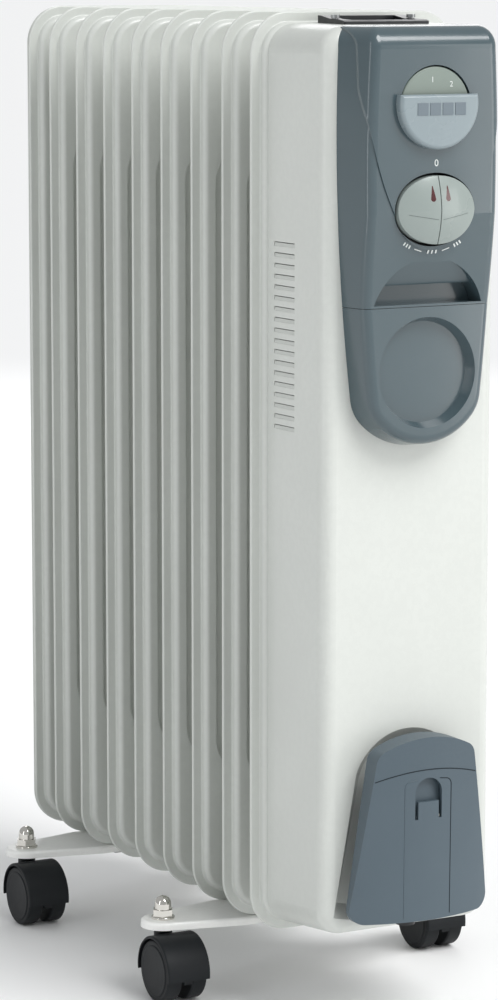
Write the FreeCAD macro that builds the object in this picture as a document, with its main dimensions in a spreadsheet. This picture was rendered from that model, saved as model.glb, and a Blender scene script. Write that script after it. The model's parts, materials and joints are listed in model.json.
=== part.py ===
import FreeCAD
import Part
import Sketcher
import math
import os

# Oil filled radiator heater. Millimetres, +Z up, the control panel faces -Y and X runs across
# the fins. The origin lies on the floor under the middle of the object. Every piece is drawn
# with Y = 0 at the front fin's pitch plane, and its Placement then moves it by frame_shift.

Vector = FreeCAD.Vector

SIZES = {
    # frame
    "frame_shift": -117.885,
    # fins, stamped from two thin sheets with a flat seam all round
    "fin_count": 9,
    "fin_pitch": 42.2,
    "fin_width": 145.3,
    "fin_height": 580,
    "fin_bottom": 50,
    "fin_corner": 25.6,
    "fin_seam": 2.4,
    "fin_bulge": 13,
    "fin_rim": 6.5,
    "fin_wall": 0.7,
    "fin_step_radius": 3.4,
    "fin_foot_radius": 1,
    "recess_half": 57,
    "recess_low": 136,
    "recess_high": 544,
    "recess_corner": 24,
    "recess_depth": 3.4,
    "recess_lip_radius": 2,
    "first_fin_depth": 4.7,
    "last_fin_depth": 329,
    "header_inset": 44,
    "port_radius": 13,
    "collar_radius": 23,
    "end_plate_rise": 7.3,
    # front cover
    "cover_back": -1.8,
    "cover_front": -68,
    "cover_half_back": 63.5,
    "cover_half_front": 60.5,
    "cover_low_back": 56,
    "cover_low_front": 63,
    "cover_high": 623,
    "cover_corner": 18,
    "cover_edge": 9,
    "cover_wall": 1,
    "vent_count": 18,
    "vent_pitch": 6.65,
    "vent_low": 374.5,
    "vent_slot": 2.8,
    "vent_front": -33,
    "vent_back": -9,
    # cord gland
    "gland_across": -3,
    "gland_depth": -70.5,
    "gland_low": 65.5,
    "gland_high": 82,
    "gland_radius": 6,
    "gland_bore": 3.7,
    # control panel
    "panel_face": -94,
    "panel_wall": 2.2,
    "panel_top": 621.7,
    "panel_roll": 13,
    "top_margin": 0.02,
    "panel_seam": 454,
    "panel_edge": 6,
    "dial_height": 574.2,
    "dial_radius": 24.2,
    "dial_hole": 25,
    "hood_radius": 27.4,
    "hood_height": 576.4,
    "hood_top": 582,
    "hood_rise": 6,
    "shield_rise": 0.9,
    "switch_height": 512.8,
    "window_half_width": 27.8,
    "window_half_height": 22.2,
    "rocker_half_width": 26.6,
    "rocker_half_height": 20.6,
    "pivot_depth": -84.5,
    "pivot_radius": 1.5,
    "shaft_radius": 3,
    "running_gap": 0.05,
    "dish_height": 413.5,
    "dish_radius": 33.9,
    # brackets and casters
    "bracket_low": 45,
    "bracket_skin": 1.4,
    "front_bracket_depth": 63.3,
    "rear_bracket_depth": 274.3,
    "stem_offset": 105,
    "stem_radius": 4,
    "stem_low": 37.6,
    "wheel_radius": 20,
    "wheel_width": 10.6,
    "wheel_trail": 15,
    "axle_radius": 2,
    "hood_gap": 1,
    "hood_skin": 1.8,
}

DOC = FreeCAD.newDocument("oil_radiator")
SHEET = DOC.addObject("Spreadsheet::Sheet", "sheet")
PARTS = []


def fill_sheet():
    for row, (alias, value) in enumerate(SIZES.items(), start=1):
        SHEET.set("A%d" % row, alias)
        SHEET.set("B%d" % row, str(value))
        SHEET.setAlias("B%d" % row, alias)
    DOC.recompute()


def size(alias):
    return float(SHEET.get(alias))


# ---------------------------------------------------------------- document helpers

def keep(part, label, shift="sheet.frame_shift"):
    """Name a finished sub-part and move it into the object's frame."""
    part.Label = label
    part.setExpression("Placement.Base.y", shift)
    PARTS.append(part)
    return part


def feature(label, shape, placement=None):
    """A sub-part whose shape is built in code, from sizes read in the sheet."""
    part = DOC.addObject("Part::Feature", label)
    part.Shape = shape
    move = FreeCAD.Placement(Vector(0, size("frame_shift"), 0), FreeCAD.Rotation())
    part.Placement = move * (placement or FreeCAD.Placement())
    part.Label = label
    PARTS.append(part)
    return part


def new_body(name):
    return DOC.addObject("PartDesign::Body", name)


def new_sketch(body, role, offset="0"):
    """A sketch on one of the body's own origin planes; offset is along the plane's normal."""
    sketch = body.newObject("Sketcher::SketchObject", body.Name + "_sketch")
    plane = next(item for item in body.Origin.OriginFeatures if item.Role == role)
    sketch.AttachmentSupport = [(plane, "")]
    sketch.MapMode = "FlatFace"
    sketch.setExpression("AttachmentOffset.Base.z", offset)
    return sketch


def bind(sketch, name, expression, *constraint):
    index = sketch.addConstraint(Sketcher.Constraint(*constraint))
    sketch.renameConstraint(index, name)
    sketch.setExpression("Constraints." + name, expression)


def add_rectangle(sketch, width, height, left, bottom):
    first = sketch.GeometryCount
    corners = [Vector(-1, -1, 0), Vector(1, -1, 0), Vector(1, 1, 0), Vector(-1, 1, 0)]
    for index in range(4):
        sketch.addGeometry(Part.LineSegment(corners[index], corners[(index + 1) % 4]), False)
    for index in range(4):
        after = first + (index + 1) % 4
        sketch.addConstraint(Sketcher.Constraint("Coincident", first + index, 2, after, 1))
        kind = "Vertical" if index % 2 else "Horizontal"
        sketch.addConstraint(Sketcher.Constraint(kind, first + index))
    tag = "_%d" % first
    bind(sketch, "width" + tag, width, "DistanceX", first, 1, first, 2, 2.0)
    bind(sketch, "height" + tag, height, "DistanceY", first + 1, 1, first + 1, 2, 2.0)
    bind(sketch, "left" + tag, left, "DistanceX", -1, 1, first, 1, -1.0)
    bind(sketch, "bottom" + tag, bottom, "DistanceY", -1, 1, first, 1, -1.0)


def add_circle(sketch, radius, across, up):
    index = sketch.GeometryCount
    sketch.addGeometry(Part.Circle(Vector(1, 1, 0), Vector(0, 0, 1), 1.0), False)
    tag = "_%d" % index
    bind(sketch, "radius" + tag, radius, "Radius", index, 1.0)
    bind(sketch, "across" + tag, across, "DistanceX", -1, 1, index, 3, 1.0)
    bind(sketch, "up" + tag, up, "DistanceY", -1, 1, index, 3, 1.0)


def pad(body, sketch, length, side="Symmetric", reverse=False):
    item = body.newObject("PartDesign::Pad", body.Name + "_pad")
    item.Profile = sketch
    item.SideType = side
    item.Reversed = reverse
    item.setExpression("Length", length)
    DOC.recompute()
    return item


def pocket(body, sketch, length, side="Symmetric", reverse=False):
    """Cut, and make sure that the cut took something away."""
    before = body.Shape.Volume
    item = body.newObject("PartDesign::Pocket", body.Name + "_pocket")
    item.Profile = sketch
    item.SideType = side
    item.Reversed = reverse
    item.setExpression("Length", length)
    DOC.recompute()
    if body.Shape.Volume >= before - 1e-6:
        raise RuntimeError(body.Name + ": a pocket cuts nothing")
    return item


def round_edges(body, base, radius, test):
    names = ["Edge%d" % (n + 1) for n, edge in enumerate(base.Shape.Edges) if test(edge)]
    item = body.newObject("PartDesign::Fillet", body.Name + "_fillet")
    item.Base = (base, names)
    item.setExpression("Radius", radius)
    DOC.recompute()
    return item


def runs_along_y(length):
    def test(edge):
        box = edge.BoundBox
        return abs(box.YLength - length) < 1e-3 and box.XLength < 1e-3 and box.ZLength < 1e-3
    return test


def lies_at_depth(*depths):
    def test(edge):
        box = edge.BoundBox
        return box.YLength < 1e-3 and any(abs(box.YMin - depth) < 1e-3 for depth in depths)
    return test


# ---------------------------------------------------------------- shape helpers

def outline(depth, start, *steps):
    """A closed wire in the plane Y = depth. A step is a point (x, z), or a pair of points:
    one that an arc passes through and the one where it ends."""
    edges = []
    here = Vector(start[0], depth, start[1])
    for step in steps:
        if isinstance(step[0], tuple):
            via = Vector(step[0][0], depth, step[0][1])
            there = Vector(step[1][0], depth, step[1][1])
            edges.append(Part.Arc(here, via, there).toShape())
        else:
            there = Vector(step[0], depth, step[1])
            edges.append(Part.LineSegment(here, there).toShape())
        here = there
    return Part.Wire(edges)


def rounded_rectangle(half, low, high, radius, depth):
    cut = radius * (1 - math.sqrt(0.5))
    return outline(
        depth, (-half + radius, low), (half - radius, low),
        ((half - cut, low + cut), (half, low + radius)), (half, high - radius),
        ((half - cut, high - cut), (half - radius, high)), (-half + radius, high),
        ((-half + cut, high - cut), (-half, high - radius)), (-half, low + radius),
        ((-half + cut, low + cut), (-half + radius, low)))


def slab(wire, length):
    """Extrude a wire of an XZ plane by length along Y."""
    return Part.Face(wire).extrude(Vector(0, length, 0))


def block(x_range, y_range, z_range):
    low = Vector(x_range[0], y_range[0], z_range[0])
    return Part.makeBox(x_range[1] - x_range[0], y_range[1] - y_range[0],
                        z_range[1] - z_range[0], low)


def rod(radius, start, end):
    """A cylinder from one point to another."""
    start = Vector(*start)
    along = Vector(*end) - start
    return Part.makeCylinder(radius, along.Length, start, along)


def join(shapes):
    return shapes[0].multiFuse(shapes[1:])


def fuse_all(shapes):
    return join(shapes).removeSplitter()


def cut_all(shape, tools):
    return shape.cut(Part.makeCompound(tools))


def soften(shape, radius, test):
    edges = [edge for edge in shape.Edges if test(edge)]
    return shape.makeFillet(radius, edges)


# ---------------------------------------------------------------- fins and headers

def fin_depths():
    """Y of each fin's seam: the first and last are set in, the others lie on the pitch."""
    pitch = size("fin_pitch")
    middle = [number * pitch for number in range(1, int(size("fin_count")) - 1)]
    return [size("first_fin_depth")] + middle + [size("last_fin_depth")]


def header_heights():
    low = size("fin_bottom") + size("header_inset")
    high = size("fin_bottom") + size("fin_height") - size("header_inset")
    return low, high


def bulged_pad(name, skin):
    """The raised oil channel of a fin. With skin it is the hollow inside the sheets."""
    inset = "(sheet.fin_rim + %s)" % skin
    body = new_body(name)
    sketch = new_sketch(body, "XZ_Plane")
    add_rectangle(sketch, "sheet.fin_width - 2 * %s" % inset,
                  "sheet.fin_height - 2 * %s" % inset,
                  "-sheet.fin_width / 2 + %s" % inset, "sheet.fin_bottom + %s" % inset)
    base = pad(body, sketch, "sheet.fin_bulge - 2 * %s" % skin)
    thick = base.Length.Value
    base = round_edges(body, base, "sheet.fin_corner - %s" % inset, runs_along_y(thick))
    base = round_edges(body, base, "sheet.fin_step_radius", lies_at_depth(-thick / 2, thick / 2))
    for side, reverse in ((1, False), (-1, True)):
        sketch = new_sketch(body, "XZ_Plane", "%d * (sheet.fin_bulge / 2 - %s)" % (side, skin))
        add_rectangle(sketch, "2 * sheet.recess_half + 2 * %s" % skin,
                      "sheet.recess_high - sheet.recess_low + 2 * %s" % skin,
                      "-sheet.recess_half - %s" % skin, "sheet.recess_low - %s" % skin)
        base = pocket(body, sketch, "sheet.recess_depth", "One side", reverse)
    base = round_edges(body, base, "sheet.recess_corner", runs_along_y(base.Length.Value))
    lip = size("recess_half") + 2

    def recess_edge(edge):
        deep = edge.BoundBox.YMax > thick / 2 - 1e-3 or edge.BoundBox.YMin < 1e-3 - thick / 2
        return edge.BoundBox.YLength < 1e-3 and abs(edge.CenterOfMass.x) < lip and deep and (
            size("recess_low") - 2 < edge.CenterOfMass.z < size("recess_high") + 2)
    round_edges(body, base, "sheet.recess_lip_radius", recess_edge)
    return body


def fin_ports():
    reach = size("fin_bulge")
    radius = size("port_radius")
    return [rod(radius, (0, -reach, z), (0, reach, z)) for z in header_heights()]


def make_fins():
    seam = new_body("fin_seam_plate")
    sketch = new_sketch(seam, "XZ_Plane")
    add_rectangle(sketch, "sheet.fin_width", "sheet.fin_height", "-sheet.fin_width / 2",
                  "sheet.fin_bottom")
    base = pad(seam, sketch, "sheet.fin_seam")
    round_edges(seam, base, "sheet.fin_corner", runs_along_y(size("fin_seam")))
    outside = bulged_pad("fin_outside", "0")
    inside = bulged_pad("fin_inside", "sheet.fin_wall")
    shape = seam.Shape.fuse(outside.Shape).removeSplitter()
    half_seam = size("fin_seam") / 2
    reach = size("fin_width") / 2 - size("fin_rim") + 0.1

    def foot(edge):
        box = edge.BoundBox
        return lies_at_depth(-half_seam, half_seam)(edge) and box.XMax < reach and box.XMin > -reach
    shape = soften(shape, size("fin_foot_radius"), foot)
    shape = cut_all(shape.cut(inside.Shape), fin_ports())
    for number, depth in enumerate(fin_depths(), start=1):
        place = FreeCAD.Placement(Vector(0, depth, 0), FreeCAD.Rotation())
        feature("fin_%d" % number, shape.copy(), place)


def make_collars():
    half = size("fin_bulge") / 2
    depths = fin_depths()
    rings = []
    for z in header_heights():
        for front, back in zip(depths, depths[1:]):
            outer = rod(size("collar_radius"), (0, front + half, z), (0, back - half, z))
            inner = rod(size("port_radius"), (0, front + half, z), (0, back - half, z))
            rings.append(outer.cut(inner))
    feature("header_collars", Part.makeCompound(rings))


def make_plugs():
    """Upper front filler plug, and the two discs that close the headers at the back."""
    low, high = header_heights()
    half = size("fin_bulge") / 2
    front = fin_depths()[0] - half
    back = fin_depths()[-1] + half
    spigot = size("port_radius") - 0.1
    cap = rod(size("collar_radius"), (0, front - 3, high), (0, front, high))
    cap = cap.fuse(rod(spigot, (0, front, high), (0, front + 6, high)))
    hexagon = Part.makePolygon([Vector(9 * math.cos(math.pi * n / 3), front - 7,
                                       high + 9 * math.sin(math.pi * n / 3)) for n in range(7)])
    cap = cap.fuse(slab(Part.Wire(hexagon), 4)).removeSplitter()
    discs = [rod(spigot, (0, back - 6, z), (0, back - 0.2, z)) for z in (low, high)]
    feature("header_plugs", Part.makeCompound([cap] + discs))


def make_end_plate():
    """Shallow stamped dish behind the last fin, open to the front."""
    seat = fin_depths()[-1] + size("fin_seam") / 2
    rise = size("end_plate_rise")
    skin = 0.8
    half = size("fin_width") / 2
    low = size("fin_bottom")
    high = low + size("fin_height")
    corner = size("fin_corner")

    def dish(inset, depth):
        rim = size("fin_rim") - 2.2 + inset
        shape = slab(rounded_rectangle(half - rim, low + rim, high - rim, corner - rim, seat),
                     depth)
        return soften(shape, 5 - inset, lies_at_depth(seat + depth))
    plate = slab(rounded_rectangle(half, low, high, corner, seat), 1.2)
    plate = plate.fuse(dish(0, rise + 1.2)).removeSplitter().cut(dish(skin, rise + 1.2 - skin))
    feature("rear_end_plate", plate)


# ---------------------------------------------------------------- heating parts

def make_element():
    low = header_heights()[0]
    front = fin_depths()[0] - size("fin_bulge") / 2
    leg = 6.5
    tube = 4
    start = front - 14
    end = fin_depths()[-1] - 40
    legs = [rod(tube, (x, start, low), (x, end, low)) for x in (-leg, leg)]
    bend = Part.makeTorus(leg, tube, Vector(0, end, low), Vector(0, 0, 1))
    bend = bend.common(block((-20, 20), (end, end + 20), (low - 10, low + 10)))
    feature("heating_element", fuse_all(legs + [bend]))
    flange = rod(size("collar_radius") + 1, (0, front - 6, low), (0, front, low))
    flange = flange.fuse(rod(size("port_radius") - 0.1, (0, front, low), (0, front + 8, low)))
    holes = [rod(tube, (x, front - 20, low), (x, front + 20, low)) for x in (-leg, leg)]
    feature("element_flange", cut_all(flange.removeSplitter(), holes))


def make_heat_shield():
    body = new_body("heat_shield")
    sketch = new_sketch(body, "XZ_Plane", "11")
    add_rectangle(sketch, "104", "530", "-52", "60")
    add_circle(sketch, "28", "0", "sheet.fin_bottom + sheet.header_inset")
    pad(body, sketch, "0.8", "One side")
    sketch = new_sketch(body, "XZ_Plane", "1.8")
    for across, up in (("-45", "130"), ("45", "130"), ("-45", "540"), ("45", "540")):
        add_circle(sketch, "4", across, up)
    pad(body, sketch, "9.4", "One side")
    keep(body, "heat_shield")


def make_cutout_and_block():
    disc = rod(9, (0, -12, 330), (0, -18, 330))
    disc = disc.fuse(rod(6, (0, -18, 330), (0, -22, 330)))
    ears = block((-18, 18), (-13, -11.8), (326, 334))
    feature("thermal_cutout", fuse_all([disc, ears]))
    base = block((-22, 22), (-24, -11.8), (285, 299))
    screws = [rod(2.2, (x, -26, 292), (x, -20, 292)) for x in (-14, 0, 14)]
    feature("terminal_block", cut_all(base, screws))


# ---------------------------------------------------------------- front cover

def cover_block(inset):
    """The cover's outer form, or with inset the space inside its sheet."""
    back = size("cover_back") + (1 if inset else 0)
    corner = size("cover_corner")
    wires = [
        rounded_rectangle(size("cover_half_back") - inset, size("cover_low_back") + inset,
                          size("cover_high") - inset, corner - inset, back),
        rounded_rectangle(size("cover_half_front") - inset, size("cover_low_front") + inset,
                          size("cover_high") - 1 - inset, corner - 2 - inset,
                          size("cover_front") + inset)]
    shape = Part.makeLoft(wires, True, True)
    return soften(shape, size("cover_edge") - inset, lies_at_depth(size("cover_front") + inset))


def scoop_outline(grow, depth):
    """Arch of the hollow that the cord plate stands in front of."""
    foot = 49.5 + grow
    waist = 33.5 + grow
    return outline(
        depth, (foot, 78 - grow), (waist, 162 + grow / 2),
        ((0, 186 + grow), (-waist, 162 + grow / 2)), (-foot, 78 - grow),
        ((0, 72.5 - grow), (foot, 78 - grow)))


def plate_outline(grow, depth):
    """Tapered outline of the cord plate: flat foot, slightly arched top."""
    foot = 50.8 + grow
    waist = 34.4 + grow
    return outline(
        depth, (foot, 72.5 - grow), (waist, 179 + grow), ((0, 188.5 + grow), (-waist, 179 + grow)),
        (-foot, 72.5 - grow), (foot, 72.5 - grow))


def winder_hollow(grow):
    """The scoop in the cover's face behind the cord plate."""
    front = size("cover_front")
    return Part.makeLoft([scoop_outline(4.5 + grow, front - 1),
                          scoop_outline(-3.5 + grow, front + 9 + grow)], True, True)


def vent_slots():
    slots = []
    reach = size("cover_half_back") + 5
    for number in range(int(size("vent_count"))):
        low = size("vent_low") + number * size("vent_pitch")
        slots.append(block((-reach, reach), (size("vent_front"), size("vent_back")),
                           (low, low + size("vent_slot"))))
    core = block((-reach + 20, reach - 20), (-60, 0), (300, 560))
    return [slot.cut(core) for slot in slots]


def panel_screw_places():
    return [(x, z) for z in (500, 601) for x in (-37, 37)]


def lower_screw_places():
    return [(-32, 447), (32, 447)]


def make_cover():
    shell = cover_block(0).cut(winder_hollow(0))
    shell = shell.cut(cover_block(size("cover_wall")).cut(winder_hollow(size("cover_wall"))))
    front = size("cover_front")
    tools = vent_slots()
    tools.append(block((-30, 30), (front - 2, front + 2), (490, 606)))
    tools.append(block((-24.4, 24.4), (-34.4, -5.6), (615, 630)))
    tools.append(gland_form(size("gland_radius") + 0.1))
    for x, z in panel_screw_places() + lower_screw_places():
        tools.append(rod(1.8, (x, front - 2, z), (x, front + 4, z)))
    for x in (-26.8, 26.8):
        tools.append(rod(1.8, (x, -20, 615), (x, -20, 630)))
    feature("front_cover", cut_all(shell, tools))


def gland_form(radius):
    """Elbow: a vertical nose below, and a stub that goes back through the cover's sheet."""
    x, depth, top = size("gland_across"), size("gland_depth"), size("gland_high")
    nose = rod(radius, (x, depth, size("gland_low")), (x, depth, top))
    stub = rod(radius, (x, depth, top), (x, size("cover_front") + 14, top))
    knee = Part.makeSphere(radius, Vector(x, depth, top))
    return join([nose, stub, knee])


def make_gland():
    """Elbow that the mains lead leaves through, straight down in front of the cover."""
    x, depth, top = size("gland_across"), size("gland_depth"), size("gland_high")
    bore = size("gland_bore")
    collar = rod(8, (x, size("cover_front") + 11, top), (x, size("cover_front") + 13.5, top))
    passages = [rod(bore, (x, depth, 0), (x, depth, top)),
                rod(bore, (x, depth, top), (x, 0, top)),
                Part.makeSphere(bore, Vector(x, depth, top))]
    gland = join([gland_form(size("gland_radius")), collar])
    feature("cord_gland", cut_all(gland, passages))


# ---------------------------------------------------------------- control panel

def meeting_point(first, first_radius, second, second_radius):
    """Where two circles of the XZ plane cross, at the lower of the two points."""
    gap = math.hypot(second[0] - first[0], second[1] - first[1])
    along = (gap ** 2 + first_radius ** 2 - second_radius ** 2) / (2 * gap)
    off = math.sqrt(first_radius ** 2 - along ** 2)
    unit = ((second[0] - first[0]) / gap, (second[1] - first[1]) / gap)
    middle = (first[0] + unit[0] * along, first[1] + unit[1] * along)
    ends = [(middle[0] - side * unit[1] * off, middle[1] + side * unit[0] * off)
            for side in (1, -1)]
    return min(ends, key=lambda end: end[1])


def beyond(centre, through, radius):
    """The point at radius from centre, in the direction of another point."""
    reach = math.hypot(through[0] - centre[0], through[1] - centre[1])
    return tuple(c + (t - c) * radius / reach for c, t in zip(centre, through))


def panel_outline(depth, inset):
    """U shaped outline of the panel at one depth: bowed sides, and narrower towards the face."""
    rate = (size("cover_front") - depth) / (size("cover_front") - size("panel_face"))
    half = 53.1 - 8.4 * rate - inset
    widest = 561 - 30 * rate
    bow = 1340 - inset
    foot = 367 + 4 * rate + inset
    low_radius = 50.2 - 8 * rate - inset
    turn = 25 - inset
    top = size("panel_top") - inset + size("top_margin")
    corner = 12 - inset
    side_centre = (half - bow, widest)
    low_centre = (0, foot + low_radius)
    turn_centre = meeting_point(side_centre, bow - turn, low_centre, low_radius - turn)
    side_low = beyond(side_centre, turn_centre, bow)
    low_end = beyond(low_centre, turn_centre, low_radius)
    half_way = tuple((a + b) / 2 for a, b in zip(side_low, low_end))
    turn_middle = beyond(turn_centre, half_way, turn)

    def side(height):
        return side_centre[0] + math.sqrt(bow ** 2 - (height - widest) ** 2)
    high = top - corner
    across = side(high)
    cut = corner * (1 - math.sqrt(0.5))
    between = (side_low[1] + high) / 2

    def flipped(point):
        return -point[0], point[1]
    return outline(
        depth, flipped(low_end), ((0, foot), low_end), (turn_middle, side_low),
        ((side(between), between), (across, high)),
        ((across - cut, top - cut), (across - corner, top)), (corner - across, top),
        ((cut - across, top - cut), (-across, high)),
        ((-side(between), between), flipped(side_low)),
        (flipped(turn_middle), flipped(low_end)))


def panel_profile(inset):
    """Side view of the panel's front, swept across X."""
    face = size("panel_face") + inset
    low_face = face + 6.5
    top = size("panel_top") - inset
    roll = size("panel_roll") - inset
    cut = roll * (1 - math.sqrt(0.5))
    back = -56

    def at(y, z):
        return Vector(-80, y, z)
    edges = [
        Part.LineSegment(at(back, top), at(face + roll, top)).toShape(),
        Part.Arc(at(face + roll, top), at(face + cut, top - cut), at(face, top - roll)).toShape(),
        Part.LineSegment(at(face, top - roll), at(face, 510)).toShape(),
        Part.LineSegment(at(face, 510), at(low_face, 455)).toShape(),
        Part.LineSegment(at(low_face, 455), at(low_face, 350)).toShape(),
        Part.LineSegment(at(low_face, 350), at(back, 350)).toShape(),
        Part.LineSegment(at(back, 350), at(back, top)).toShape()]
    return Part.Face(Part.Wire(edges)).extrude(Vector(160, 0, 0))


def panel_block(inset):
    sides = Part.makeLoft([panel_outline(-56, inset), panel_outline(-104, inset)], True, True)
    shape = sides.common(panel_profile(inset))
    face = size("panel_face") + inset

    def front_edge(edge):
        box = edge.BoundBox
        return box.YMax < face + 12 and box.XLength < 100
    return soften(shape, size("panel_edge") - inset, front_edge)


def shield():
    """Region of the raised inner field: the top's whole width, then in to the switches."""
    wire = outline(
        -104, (-47, 640), (-47.4, 586), ((-41.2, 547), (-26, 507)), ((0, 488), (26, 507)),
        ((41.2, 547), (47.4, 586)), (47, 640), (-47, 640))
    return slab(wire, 50)


def oval(half_width, half_height, depth, length):
    height = size("switch_height")
    curve = Part.Ellipse(Vector(half_width, depth, height), Vector(0, depth, height + half_height),
                         Vector(0, depth, height))
    return slab(Part.Wire(curve.toShape()), length)


def half_moon(grow, depth, length):
    """Finger grip above the seam: flat floor, round top."""
    half = 37.8 + grow
    low = 455.4 - grow
    top = 483.5 + grow
    return slab(outline(depth, (-half, low), (half, low), ((0, top), (-half, low))), length)


def grip_space(grow):
    """The half moon cut off by a wall that leans back towards a ledge at the bottom."""
    wedge = [(-100, 486 + grow), (-93.5 + grow, 486 + grow), (-82 + grow, 467 + grow),
             (-73 + grow, 466 + grow), (-73 + grow, 450 - grow), (-100, 450 - grow)]
    points = [Vector(-60, y, z) for y, z in wedge]
    side = Part.Face(Part.makePolygon(points + points[:1])).extrude(Vector(120, 0, 0))
    return half_moon(grow, -100, 40).common(side)


def dish_space(grow):
    """The round dish in the lower panel."""
    face = size("panel_face") + 6.5
    height = size("dish_height")
    radius = size("dish_radius")
    cone = Part.makeCone(radius + grow, radius - 3 + grow, 7 + grow, Vector(0, face, height),
                         Vector(0, 1, 0))
    return cone.fuse(rod(radius + grow, (0, face - 10, height), (0, face, height)))


def panel_bosses(places):
    face = size("panel_face")
    return [rod(4, (x, face + 1, z), (x, size("cover_front"), z)) for x, z in places]


def panel_pilots(places):
    face = size("panel_face")
    return [rod(1.6, (x, face + 9, z), (x, -50, z)) for x, z in places]


def make_panels():
    wall = size("panel_wall")
    outer = panel_block(0)
    before_cover = block((-80, 80), (-120, size("cover_front") + 6), (300, 700))
    lifted = panel_block(-size("shield_rise")).common(shield()).common(before_cover)
    shell = outer.fuse(lifted).cut(panel_block(wall))
    cover = cover_block(0)
    grip = grip_space(wall).common(outer)
    dish = dish_space(wall).common(outer)
    upper_bosses = [boss.common(outer) for boss in panel_bosses(panel_screw_places())]
    lower_bosses = [boss.common(outer) for boss in panel_bosses(lower_screw_places())]
    seam = size("panel_seam")
    above = block((-80, 80), (-120, 0), (seam, 700))
    below = block((-80, 80), (-120, 0), (300, seam - 0.3))
    upper = join([shell, grip] + upper_bosses).cut(grip_space(0)).common(above).cut(cover)
    height = size("dial_height")
    upper = cut_all(upper, [
        rod(size("dial_hole"), (0, -120, height), (0, -80, height)),
        oval(size("window_half_width"), size("window_half_height"), -120, 40)]
        + panel_pilots(panel_screw_places()))
    lower = join([shell, dish] + lower_bosses).cut(dish_space(0)).common(below).cut(cover)
    lower = cut_all(lower, panel_pilots(lower_screw_places()))
    feature("upper_panel", largest(upper))
    feature("lower_panel", largest(lower))


def largest(shape):
    return max(shape.Solids, key=lambda solid: solid.Volume)


def make_chassis():
    """Sheet bracket behind the cover's face that carries the thermostat."""
    body = new_body("control_chassis")
    sketch = new_sketch(body, "XZ_Plane", "-sheet.cover_front - sheet.cover_wall - 1.2")
    add_rectangle(sketch, "100", "120", "-50", "490")
    add_rectangle(sketch, "52", "32", "-26", "sheet.switch_height - 16")
    add_circle(sketch, "5.3", "0", "sheet.dial_height")
    for x, z in panel_screw_places():
        add_circle(sketch, "1.8", str(x), str(z))
    pad(body, sketch, "1.2", "One side")
    keep(body, "control_chassis")


def make_thermostat():
    height = size("dial_height")
    radius = size("dial_radius")
    shaft = size("shaft_radius")
    bore = shaft + size("running_gap")
    back = size("cover_front") + size("cover_wall") + 1.2
    face = size("panel_face")
    disc = rod(radius, (0, face - 0.4, height), (0, face + 3, height))
    disc = soften(disc, 1, lies_at_depth(face - 0.4))
    hub = rod(7, (0, face + 3, height), (0, face + 14, height))
    dial = disc.fuse(hub).cut(rod(shaft, (0, face + 5, height), (0, face + 20, height)))
    feature("thermostat_dial", dial)
    feature("thermostat_shaft", rod(shaft, (0, face + 5, height), (0, back + 12, height)))
    base = block((-17, 17), (back, back + 18), (height - 13, height + 13))
    bush = rod(5, (0, back - 10, height), (0, back, height))
    body = fuse_all([base, bush]).cut(rod(bore, (0, back - 20, height), (0, back + 12.6, height)))
    feature("thermostat_body", body)


def make_dial_hood():
    """D shaped cap over the lower part of the dial, open along its straight top edge."""
    height = size("hood_height")
    top = size("hood_top")
    radius = size("hood_radius")
    seat = size("panel_face") - size("shield_rise")
    front = seat - size("hood_rise")
    skin = 2.2
    outer = rod(radius, (0, front, height), (0, seat, height))
    outer = outer.common(block((-40, 40), (front - 1, seat + 1), (500, top)))
    outer = soften(outer, 2.6, lies_at_depth(front))
    hollow = rod(radius - skin, (0, front + skin, height), (0, seat + 1, height))
    hollow = hollow.common(block((-40, 40), (front, seat + 1), (500, top + 1)))
    feature("dial_hood", outer.cut(hollow))


# ---------------------------------------------------------------- switches

def teardrop(centre, grow, depth, length):
    base = size("switch_height") + 7
    half = 1.7 + grow
    tip = base + 7.6 + grow
    return slab(outline(depth, (centre - half, base), ((centre, base - half), (centre + half, base)),
                        (centre + 0.3, tip), (centre - 0.3, tip), (centre - half, base)), length)


def rocker_dome():
    """Oval button pair: two shallow spheres that meet in a ridge at mid height."""
    height = size("switch_height")
    face = size("panel_face")
    ball = 62
    crown = face - 9
    prism = oval(size("rocker_half_width"), size("rocker_half_height"), face - 12, 17)
    upper = Part.makeSphere(ball, Vector(0, crown + ball, height + 3))
    lower = Part.makeSphere(ball, Vector(0, crown + ball, height - 3))
    return prism.common(upper).common(lower)


def make_rockers():
    height = size("switch_height")
    face = size("panel_face")
    pivot = size("pivot_depth")
    dome = rocker_dome()
    lens_place = 5.2
    for name, sign in (("left", -1), ("right", 1)):
        near, far = sorted((sign * 0.3, sign * 40))
        half = dome.common(block((near, far), (-130, -60), (460, 560)))
        near, far = sorted((sign * 3, sign * 18))
        lug = rod(4.6, (near, pivot, height), (far, pivot, height))
        web = block((near, far), (face + 4, pivot), (height - 4, height + 4))
        drop = teardrop(sign * lens_place, 0, face - 14, 12)
        half = fuse_all([half, lug, web])
        bore = rod(size("pivot_radius") + size("running_gap"), (near - 1, pivot, height),
                   (far + 1, pivot, height))
        feature(name + "_rocker", half.cut(bore).cut(drop))
        feature(name + "_lens", drop.common(dome))
    feature("rocker_pivot", rod(size("pivot_radius"), (-30, pivot, height), (30, pivot, height)))


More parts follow.
